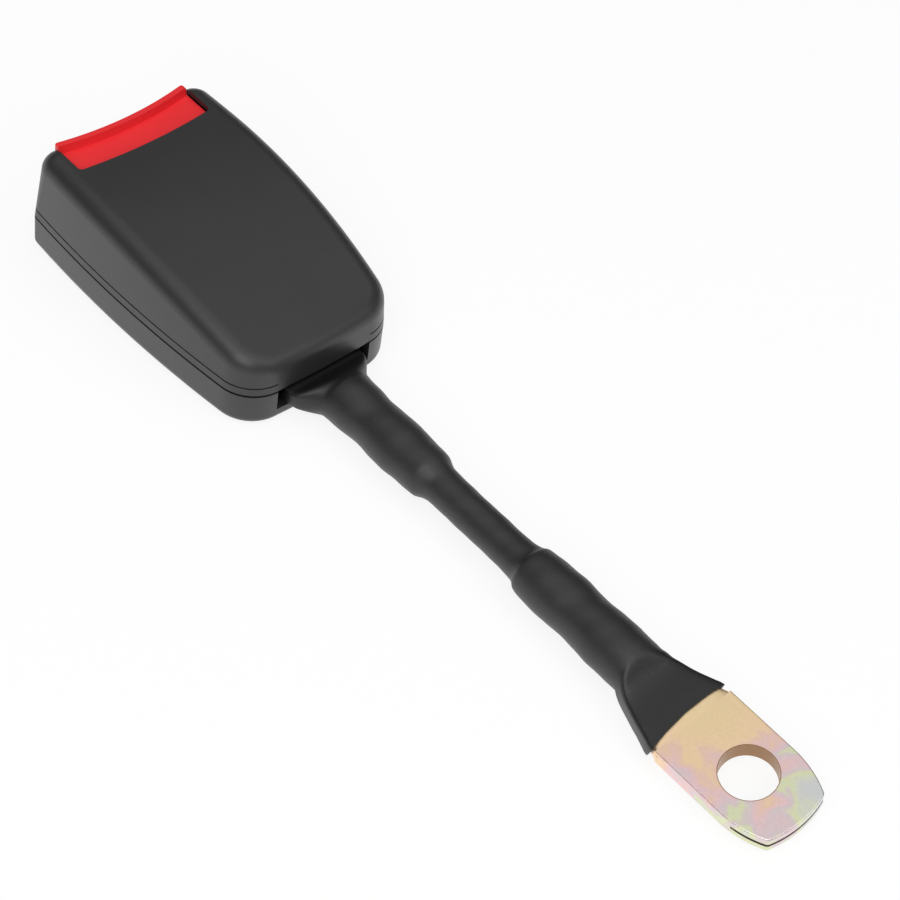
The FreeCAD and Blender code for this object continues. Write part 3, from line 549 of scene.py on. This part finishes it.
def close_and_smooth(piece: bpy.types.Object, close: bool, crisp_deg: float = 40.0) -> None:
    """Merges doubles, points the faces outwards, fills open ends and smooths the shading.

    Args:
        piece: the piece to finish.
        close: whether open ends are filled.
        crisp_deg: edges sharper than this stay crisp.
    """
    only(piece)
    bpy.ops.object.mode_set(mode="EDIT")
    bpy.ops.mesh.select_all(action="SELECT")
    bpy.ops.mesh.remove_doubles(threshold=WELD)
    if close:
        bpy.ops.mesh.fill_holes(sides=0)
        bpy.ops.mesh.select_all(action="SELECT")
    bpy.ops.mesh.normals_make_consistent(inside=False)
    bpy.ops.object.mode_set(mode="OBJECT")
    bpy.ops.object.shade_smooth_by_angle(angle=math.radians(crisp_deg))


def wound_bar(name: str, winding_mm: float, wire_mm: float, length_mm: float, turns: float,
              corners: int, steps: int = 28) -> bpy.types.Object:
    """Models a round bar that is wound about the X axis, from the origin along +X.

    Args:
        name: the piece's name.
        winding_mm: radius of the bar's own middle line about the axis.
        wire_mm: radius of the bar.
        length_mm: how far the middle line runs along the axis.
        turns: number of turns.
        corners: corners of the bar's section.
        steps: steps per turn.

    Returns:
        The bar, closed at both ends.
    """
    lay_down()
    tilt = math.atan2(length_mm / turns, 2 * math.pi * winding_mm)
    bpy.ops.mesh.primitive_circle_add(vertices=corners, radius=wire_mm * MM, rotation=(0, tilt, 0))
    bar = take_up(name)
    apply_place(bar)
    bpy.ops.object.mode_set(mode="EDIT")
    bpy.ops.mesh.select_all(action="SELECT")
    bpy.ops.transform.translate(value=(0, winding_mm * MM, 0))
    bpy.ops.object.mode_set(mode="OBJECT")
    count = math.ceil(turns * steps)
    apply_modifier(bar, "SCREW", axis="X", angle=2 * math.pi * turns, screw_offset=length_mm * MM,
                   steps=count, render_steps=count, use_smooth_shade=True)
    close_and_smooth(bar, close=True)
    return bar


# ---------------------------------------------------------------- stalk

def bend_with_stalk(piece: bpy.types.Object) -> None:
    """Moves a piece's place into its mesh; the piece lies along the free rope, from the anchor's
    barrel to the buckle's.

    Args:
        piece: the sleeve or the rope.
    """
    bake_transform(piece)


@dataclass
class SteelRope:
    """Six strands laid right-handed round a core."""

    start_mm: float = 32.0
    length_mm: float = 80.5
    lay_mm: float = 45.0
    strands: int = 6
    strand_radius: float = 0.98
    strand_corners: int = 12
    lay_radius: float = 2.0
    core_radius: float = 0.94
    core_corners: int = 16
    core_rings: int = 40

    def heart(self) -> bpy.types.Object:
        """Draws the core out from a circle, with rings along it so that it can bend.

        Returns:
            The core, from the origin along +X.
        """
        lay_down()
        bpy.ops.mesh.primitive_circle_add(vertices=self.core_corners, radius=self.core_radius * MM,
                                          rotation=(0, math.pi / 2, 0))
        core = take_up("rope_heart")
        apply_place(core)
        bpy.ops.object.mode_set(mode="EDIT")
        bpy.ops.mesh.select_all(action="SELECT")
        for _ in range(self.core_rings):
            bpy.ops.mesh.extrude_region_move(
                TRANSFORM_OT_translate={"value": (self.length_mm / self.core_rings * MM, 0, 0)})
        close_and_smooth(core, close=True)
        return core

    def build(self) -> bpy.types.Object:
        """Models one strand, copies it round the core and joins the lot.

        Returns:
            The rope, dressed.
        """
        first = wound_bar("steel_rope", self.lay_radius, self.strand_radius, self.length_mm,
                          self.length_mm / self.lay_mm, self.strand_corners)
        members = [first]
        for index in range(1, self.strands):
            strand = first.copy()
            strand.data = first.data.copy()
            bpy.context.scene.collection.objects.link(strand)
            strand.rotation_euler.x = 2 * math.pi * index / self.strands
            apply_place(strand)
            members.append(strand)
        members.append(self.heart())
        only(first)
        for member in members:
            member.select_set(True)
        bpy.ops.object.join()
        first.location = (self.start_mm * MM, 0, STALK_AXIS_Z * MM)
        apply_place(first)
        dress(first, Finish.ROPE)
        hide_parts("rope_core", *[f"rope_strand_{k}" for k in range(1, self.strands + 1)])
        bend_with_stalk(first)
        return first


@dataclass(frozen=True)
class Station:
    """Outer size of the sleeve at one place along the stalk, in millimetres from its own middle."""

    x: float
    near: float
    far: float
    top: float
    under: float


# From the tab to the buckle: how far the sleeve stands out on its four sides
SLEEVE_STATIONS: tuple[Station, ...] = tuple(Station(*row) for row in (
    (15.5, 10.00, 9.92, 2.48, 2.45), (18.0, 9.30, 9.15, 2.62, 2.60), (20.0, 8.76, 8.45, 2.75, 2.72),
    (22.0, 8.16, 7.78, 2.86, 2.85), (24.0, 7.54, 7.22, 3.02, 3.00), (26.0, 6.90, 6.70, 3.42, 3.30),
    (27.0, 6.60, 6.46, 3.80, 3.60), (28.0, 6.34, 6.24, 4.34, 4.10), (28.6, 6.20, 6.14, 4.72, 4.60),
    (29.2, 6.10, 6.05, 5.06, 5.10), (30.0, 6.00, 5.98, 5.42, 5.42), (32.0, 5.90, 5.92, 5.74, 5.72),
    (35.0, 5.90, 5.95, 5.85, 5.80), (38.0, 5.92, 5.98, 5.80, 5.80), (42.0, 5.55, 5.70, 5.60, 5.60),
    (46.0, 5.42, 5.62, 5.45, 5.50), (50.0, 5.68, 5.85, 5.65, 5.60), (54.0, 5.75, 5.75, 5.70, 5.60),
    (57.0, 5.58, 5.45, 5.50, 5.45), (58.3, 5.48, 5.32, 5.36, 5.30), (59.1, 5.30, 5.18, 5.22, 5.18),
    (60.0, 4.62, 4.70, 4.60, 4.65), (61.0, 4.25, 4.40, 4.30, 4.35), (62.5, 4.08, 4.18, 4.10, 4.15),
    (66.0, 3.95, 3.98, 3.95, 3.95), (74.0, 3.96, 3.96, 3.96, 3.96), (82.0, 3.98, 3.98, 3.98, 3.98),
    (85.5, 4.05, 4.10, 4.08, 4.08), (87.0, 4.35, 4.50, 4.40, 4.40), (88.0, 4.80, 4.90, 4.85, 4.80),
    (88.9, 5.20, 5.20, 5.20, 5.20), (90.0, 5.32, 5.30, 5.32, 5.30), (94.0, 5.48, 5.45, 5.45, 5.45),
    (98.0, 5.78, 5.75, 5.70, 5.65), (102.0, 5.62, 5.65, 5.60, 5.60), (106.0, 5.38, 5.42, 5.40, 5.40),
    (110.0, 5.82, 5.75, 5.75, 5.60), (113.0, 5.95, 5.85, 5.85, 5.65), (114.4, 6.10, 6.00, 5.80, 5.60),
    (115.4, 6.35, 6.30, 5.35, 5.25), (116.6, 7.10, 6.95, 4.75, 4.80), (118.0, 8.40, 8.10, 3.65, 3.75),
    (119.4, 9.45, 9.15, 2.55, 2.75), (120.8, 9.78, 9.72, 1.95, 2.10), (122.4, 9.82, 9.82, 1.90, 1.95),
    (125.9, 9.82, 9.82, 1.90, 1.95)))


@dataclass
class ShrinkSleeve:
    """Heat-shrunk sleeve over the flare, the barrels and the rope.

    It draws in over the rope, necks at both barrels' middles where the press left them thinner,
    stands out in a step where the flat tab opens into the barrel, and ends in a curve on the tab.
    Lengths are in millimetres.
    """

    stations: tuple[Station, ...] = SLEEVE_STATIONS
    corners: int = 64
    first_radius: float = 5.0
    wall_mm: float = 0.45
    start_mm: float = 15.5
    end_mm: float = 125.8
    fine_zones: tuple[tuple[float, float], ...] = (
        (24.0, 31.5), (56.5, 63.0), (84.5, 91.0), (113.0, 123.0))
    fine_step: float = 0.4
    coarse_step: float = 1.0
    least_step: float = 0.05
    tab_root: float = 14.5
    flare_mm: float = 15.0
    tab_twist: float = -10.2
    strap_from: float = 115.0
    strap_mm: float = 6.0
    crease_x: float = 28.4
    crease_width: float = 1.9
    crease_side: float = 3.2
    crease_arch: float = 0.022
    curve_length: float = 5.0
    curve_half: float = 10.0
    curve_top: float = 2.4
    tongue_mm: float = 1.1
    end_lean: float = 0.05
    end_slant: float = 0.33
    lump_x: float = 48.0
    lump_width: float = 2.2
    lump_turn: float = 2.35
    lump_mm: float = 0.22
    dent_mm: float = 0.05
    dent_fade: float = 6
    dent_spiral: tuple[float, float] = (0.9, 3)
    dent_swing: tuple[float, float] = (0.37, 1.1)
    crisp_deg: float = 45

    def rise(self, k: int, side: str) -> float:
        """Finds how steeply one side rises after a station.

        Args:
            k: number of the station.
            side: name of the side.

        Returns:
            Rise per millimetre up to the next station.
        """
        here, there = self.stations[k], self.stations[k + 1]
        return (getattr(there, side) - getattr(here, side)) / (there.x - here.x)

    def slope(self, k: int, side: str) -> float:
        """Finds one side's slope at a station, level at the ends and at each turning point.

        Args:
            k: number of the station.
            side: name of the side.

        Returns:
            The slope, between the rises before and after it.
        """
        if k == 0 or k == len(self.stations) - 1:
            return 0.0
        before, after = self.rise(k - 1, side), self.rise(k, side)
        return 0.0 if before * after <= 0 else 2 * before * after / (before + after)

    def reach(self, x: float, k: int, side: str) -> float:
        """Finds how far one side stands out between two stations.

        Args:
            x: place along the stalk.
            k: number of the station before it.
            side: name of the side.

        Returns:
            The size there, on a curve with no overshoot.
        """
        here, there = self.stations[k], self.stations[k + 1]
        span = there.x - here.x
        t = (x - here.x) / span
        a, b = getattr(here, side), getattr(there, side)
        return ((1 + 2 * t) * (1 - t) ** 2 * a + t * (1 - t) ** 2 * span * self.slope(k, side)
                + t * t * (3 - 2 * t) * b + t * t * (t - 1) * span * self.slope(k + 1, side))

    def at(self, x: float) -> Station:
        """Reads the sleeve's size at x from the stations.

        Args:
            x: place along the stalk.

        Returns:
            The size there.
        """
        if x <= self.stations[0].x:
            return self.stations[0]
        if x >= self.stations[-1].x:
            return self.stations[-1]
        k = next(i for i in range(len(self.stations) - 1) if x <= self.stations[i + 1].x)
        return Station(x, *[self.reach(x, k, side) for side in ("near", "far", "top", "under")])

    def middle(self, x: float) -> tuple[float, float, float]:
        """Finds how the section lies at x.

        Args:
            x: place along the stalk.

        Returns:
            Height of its middle, its power (2 round, 8 nearly oblong) and its turn in degrees.
        """
        along = min(max((x - self.tab_root) / self.flare_mm, 0.0), 1.0)
        rise = along ** 8
        strap = min(max((x - self.strap_from) / self.strap_mm, 0.0), 1.0)
        power = 8 - 6 * along ** 3 + 6 * strap ** 2
        return STALK_AXIS_Z * rise, power, self.tab_twist * (1 - rise)

    def rings(self) -> list[float]:
        """Lists the places of the rings: close together at the steps and shoulders.

        Returns:
            Their places along the stalk, in order.
        """
        places, x = [self.start_mm], self.start_mm
        while x < self.end_mm - self.least_step:
            fine = any(low <= x < high for low, high in self.fine_zones)
            x = min(x + (self.fine_step if fine else self.coarse_step), self.end_mm)
            places.append(x)
        return places

    def slide(self, x: float, y: float, z: float, upward: float) -> float:
        """Finds how far a point of a ring is moved along the stalk.

        Args:
            x: place of its ring along the stalk.
            y: its place across.
            z: its height.
            upward: 1 at the top of the ring, and 0 or less on its lower half.

        Returns:
            The move along the stalk.
        """
        # The step arches back towards the far side, over the crease
        crease = math.exp(-((x - self.crease_x) / self.crease_width) ** 2) * max(upward, 0.0)
        shift = -self.crease_arch * (self.crease_side - y) ** 2 * crease
        # The end on the tab is cut in a shallow curve, longest at its middle
        fade = max(0.0, 1 - (x - self.start_mm) / self.curve_length)
        shift += fade * (self.tongue_mm * (1 - (y / self.curve_half) ** 2) - self.end_lean * y
                         + self.end_slant * (self.curve_top - z))
        return shift

    def swell(self, x: float, angle: float) -> float:
        """Finds the shallow dents and the one soft lump on the far side, left by the shrinking.

        Args:
            x: place along the stalk.
            angle: turn about the stalk, from the near side towards the top.

        Returns:
            How far the face stands out from the plain form.
        """
        lump = (self.lump_mm * math.exp(-((x - self.lump_x) / self.lump_width) ** 2)
                * max(0.0, math.cos(angle - self.lump_turn)) ** 4)
        # Dents run round the stalk in a spiral, and swell and fade along it
        (along, around), (slow, ahead) = self.dent_spiral, self.dent_swing
        dent = (self.dent_mm * math.sin(along * x + around * angle) * math.sin(slow * x + ahead)
                * (1 - math.exp(-((x - self.start_mm) / self.dent_fade) ** 2)))
        return lump + dent

    def skin(self, x: float, angle: float) -> Vector:
        """Finds one point of the sleeve's outer face.

        Args:
            x: place of its ring along the stalk.
            angle: turn about the stalk, from the near side towards the top.

        Returns:
            The point, in millimetres.
        """
        size = self.at(x)
        height, power, twist = self.middle(x)
        c, s = math.cos(angle), math.sin(angle)
        y = (size.near if c > 0 else size.far) * math.copysign(abs(c) ** (2 / power), c)
        z = (size.top if s > 0 else size.under) * math.copysign(abs(s) ** (2 / power), s)
        shift = self.slide(x, y, z, s)
        swell = self.swell(x, angle)
        y += swell * c
        z += swell * s
        turn = math.radians(twist)
        return Vector((x + shift, y * math.cos(turn) - z * math.sin(turn),
                       height + y * math.sin(turn) + z * math.cos(turn)))

    def build(self) -> bpy.types.Object:
        """Draws a ring out along the stalk, shapes its rings and gives the wall its thickness.

        Returns:
            The sleeve, dressed.
        """
        lay_down()
        places = self.rings()
        bpy.ops.mesh.primitive_circle_add(vertices=self.corners, radius=self.first_radius * MM,
                                          location=(places[0] * MM, 0, 0), rotation=(0, math.pi / 2, 0))
        sleeve = take_up("heat_shrink_sleeve")
        apply_place(sleeve)
        bpy.ops.object.mode_set(mode="EDIT")
        bpy.ops.mesh.select_all(action="SELECT")
        for before, after in zip(places, places[1:]):
            bpy.ops.mesh.extrude_region_move(
                TRANSFORM_OT_translate={"value": ((after - before) * MM, 0, 0)})
        bpy.ops.object.mode_set(mode="OBJECT")
        for vertex in sleeve.data.vertices:
            vertex.co = self.skin(vertex.co.x / MM, math.atan2(vertex.co.z, vertex.co.y)) * MM
        close_and_smooth(sleeve, close=False)
        apply_modifier(sleeve, "SOLIDIFY", thickness=self.wall_mm * MM, offset=-1.0, use_even_offset=True)
        only(sleeve)
        bpy.ops.object.shade_smooth_by_angle(angle=math.radians(self.crisp_deg))
        dress(sleeve, Finish.SLEEVE)
        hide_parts("shrink_sleeve")
        bend_with_stalk(sleeve)
        return sleeve


# ---------------------------------------------------------------- springs

@dataclass
class CompressionSpring:
    """Coil of round spring wire between two seats, in millimetres."""

    node: str
    diameter: float
    wire: float
    turns: int
    start: tuple[float, float, float]
    length: float
    heading: Heading = Heading.FORWARD
    joint: str = ""
    keep: float = 1.0
    corners: int = 10

    def build(self) -> bpy.types.Object:
        """Winds the spring and seats it.

        Returns:
            The spring, dressed and riding on the buckle.
        """
        coil = wound_bar(self.node.replace("spring", "coil"), (self.diameter - self.wire) / 2,
                         self.wire / 2, self.length - self.wire, self.turns, self.corners)
        if self.heading is Heading.UP:
            coil.rotation_euler.y = -math.pi / 2
            apply_place(coil)
            lead = Vector((0, 0, self.wire / 2))
        else:
            lead = Vector((self.wire / 2, 0, 0))
        coil.location = (Vector(self.start) + lead) * MM
        apply_place(coil)
        dress(coil, Finish.SPRING)
        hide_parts(self.node)
        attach(coil, "buckle")
        if self.joint:
            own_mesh(coil)
        return coil


SPRINGS: tuple[CompressionSpring, ...] = (
    CompressionSpring("button_spring_left", diameter=4.4, wire=0.5, turns=5,
                      start=(179.45, 12.5, 12.35), length=7.85, joint="button_press", keep=0.618),
    CompressionSpring("button_spring_right", diameter=4.4, wire=0.5, turns=5,
                      start=(179.45, -12.5, 12.35), length=7.85, joint="button_press", keep=0.618),
    CompressionSpring("ejector_spring", diameter=4.0, wire=0.5, turns=8,
                      start=(141.15, 0.0, 2.15), length=19.7, joint="ejector_slide", keep=0.391),
    CompressionSpring("latch_spring", diameter=4.6, wire=0.45, turns=3,
                      start=(152.0, 0.0, 9.70), length=6.7, heading=Heading.UP),
)


# ---------------------------------------------------------------- studio

@dataclass(frozen=True)
class Softbox:
    """Large square lamp that faces the middle of the part, in metres and watts."""

    name: str
    place: tuple[float, float, float]
    power: float
    size: float

    def build(self) -> None:
        """Adds the lamp and turns it to the part."""
        data = bpy.data.lights.new(self.name, "AREA")
        data.energy, data.size = self.power, self.size
        lamp = bpy.data.objects.new(self.name, data)
        bpy.context.scene.collection.objects.link(lamp)
        spot = Vector(self.place)
        aim = (Vector((STAGE_X, 0, 0)) - spot).to_track_quat("-Z", "Y").to_matrix().to_4x4()
        lamp.matrix_world = Matrix.Translation(spot) @ aim


@dataclass(frozen=True)
class Studio:
    """White floor, soft overhead surround and the photograph's camera."""

    eye_mm: tuple[float, float, float] = (-153.18, 268.70, 405.84)
    look_mm: tuple[float, float, float] = (90.25, -6.04, 3.55)
    roll_deg: float = 9.546
    focal_px: float = 2762.4
    frame_px: float = 900.0
    sensor_mm: float = 36.0
    clip_m: tuple[float, float] = (0.01, 50.0)
    low_sky: float = 0.12
    high_sky: float = 1.32
    sky_edges: tuple[float, float] = (0.67, 0.92)
    softboxes: tuple[Softbox, ...] = (
        Softbox("key_softbox", place=(-0.35, 0.75, 0.85), power=9.0, size=0.9),
        Softbox("rear_softbox", place=(-0.85, -0.35, 0.75), power=3.5, size=0.7))
    floor_size: float = 6.0
    floor_gap_mm: float = 0.03
    floor_colour: str = "f4f4f4"
    floor_roughness: float = 0.9
    floor_glow: float = 0.85
    floor_shine: float = 1.4

    def camera(self) -> None:
        """Adds the camera at the photograph's viewing angle."""
        data = bpy.data.cameras.new("photo_camera")
        data.sensor_width = self.sensor_mm
        data.lens = self.focal_px / self.frame_px * self.sensor_mm
        data.clip_start, data.clip_end = self.clip_m
        camera = bpy.data.objects.new("photo_camera", data)
        bpy.context.scene.collection.objects.link(camera)
        eye, look = Vector(self.eye_mm) * MM, Vector(self.look_mm) * MM
        aim = (look - eye).to_track_quat("-Z", "Y").to_matrix().to_4x4()
        roll = Matrix.Rotation(math.radians(self.roll_deg), 4, "Z")
        camera.matrix_world = Matrix.Translation(eye) @ aim @ roll
        bpy.context.scene.camera = camera

    def surround(self) -> None:
        """Sets a world that is white behind the part, and lights it softly from overhead."""
        world = bpy.data.worlds.new("studio_surround")
        bpy.context.scene.world = world
        world.use_nodes = True
        tree = world.node_tree
        tree.nodes.clear()
        ray = add_node(tree, "ShaderNodeLightPath")
        place = add_node(tree, "ShaderNodeTexCoord").outputs[Space.DIRECTION.value]
        axes = add_node(tree, "ShaderNodeSeparateXYZ", links={0: place})
        level = add_node(tree, "ShaderNodeMapRange", {
            "interpolation_type": "SMOOTHSTEP",
            "From Min": self.sky_edges[0], "From Max": self.sky_edges[1],
            "To Min": self.low_sky, "To Max": self.high_sky}, {"Value": axes.outputs[2]})
        dome = add_node(tree, "ShaderNodeBackground", {"Color": linear("ffffff")},
                        {"Strength": level.outputs[0]})
        seen = add_node(tree, "ShaderNodeBackground", {"Color": linear("ffffff"), "Strength": 1.0})
        mix = add_node(tree, "ShaderNodeMixShader", links={
            0: ray.outputs["Is Camera Ray"], 1: dome.outputs[0], 2: seen.outputs[0]})
        add_node(tree, "ShaderNodeOutputWorld", links={0: mix.outputs[0]})

    def floor_paper(self) -> bpy.types.Material:
        """Makes matt white paper that shows white to the camera and in steel, and holds shadows.

        Returns:
            The material.
        """
        material, tree, shader = new_material("matt_white_floor_paper")
        shader.inputs["Base Color"].default_value = linear(self.floor_colour)
        shader.inputs["Roughness"].default_value = self.floor_roughness
        ray = add_node(tree, "ShaderNodeLightPath")
        glow = add_node(tree, "ShaderNodeEmission", {"Color": linear("ffffff"), "Strength": 1.0})
        shine = add_node(tree, "ShaderNodeEmission", {
            "Color": linear("ffffff"), "Strength": self.floor_shine})
        share = add_node(tree, "ShaderNodeMath", {"operation": "MULTIPLY", 1: self.floor_glow},
                         {0: ray.outputs["Is Camera Ray"]})
        mix = add_node(tree, "ShaderNodeMixShader", links={
            0: share.outputs[0], 1: shader.outputs[0], 2: glow.outputs[0]})
        mirrored = add_node(tree, "ShaderNodeMixShader", links={
            0: ray.outputs["Is Glossy Ray"], 1: mix.outputs[0], 2: shine.outputs[0]})
        output = next(node for node in tree.nodes if node.type == "OUTPUT_MATERIAL")
        tree.links.new(mirrored.outputs[0], output.inputs[0])
        return material

    def floor(self) -> None:
        """Adds the pale floor that the part lies on."""
        level = CAD_BOX[0].z - self.floor_gap_mm * MM
        lay_down()
        bpy.ops.mesh.primitive_plane_add(size=self.floor_size, location=(STAGE_X, 0, level))
        plane = take_up("studio_floor")
        apply_place(plane)
        plane.data.materials.append(self.floor_paper())

    def build(self) -> None:
        """Sets up camera, light and floor."""
        bpy.context.scene.view_settings.view_transform = "Standard"
        self.camera()
        self.surround()
        for softbox in self.softboxes:
            softbox.build()
        self.floor()


def dress_nodes() -> None:
    """Gives every carried-over CAD node its finish."""
    for name, finish in FINISH_OF.items():
        dress(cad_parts[name], finish)
        log.info("dressed %s with %s", name, finish.value.name)


def main() -> None:
    """Builds the scene in order."""
    logging.basicConfig(level=logging.INFO)
    Studio().build()
    dress_nodes()
    for maker in (ShrinkSleeve(), SteelRope(), *SPRINGS):
        piece = maker.build()
        log.info("built %s with %d faces", piece.name, len(piece.data.polygons))


if __name__ == "__main__":
    main()
